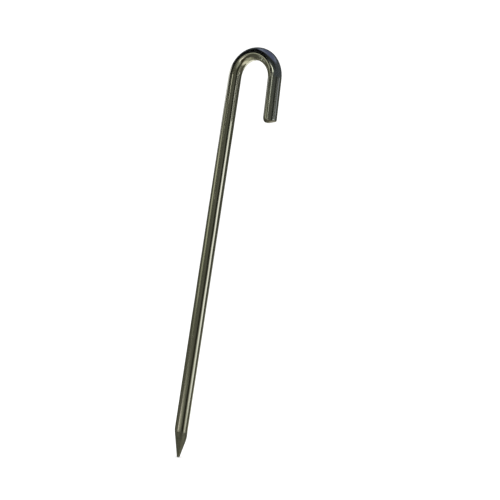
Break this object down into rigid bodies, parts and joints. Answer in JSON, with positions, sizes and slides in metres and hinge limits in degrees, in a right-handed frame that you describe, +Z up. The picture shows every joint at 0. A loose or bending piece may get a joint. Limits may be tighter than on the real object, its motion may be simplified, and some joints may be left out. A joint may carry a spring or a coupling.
{
  "type": "tent stake",
  "caption": "Round steel ground stake with a ground point and a J-bent hook that holds a guy line or a frame foot down.",
  "frame": {"origin": "the tip of the ground point, on the shank's axis", "axes": "+Z up the shank from the tip to the hook, +X from the shank to the hook's leg, Y across the plane of the bend"},
  "size_m": [0.0458, 0.0096, 0.3048],
  "materials": {
    "plated_steel": "bright zinc plate over cold-drawn bar, drawn along its length, with a matt ground point"
  },
  "bodies": {
    "root": {"stake_bar": "plated_steel"}
  },
  "joints": []
}
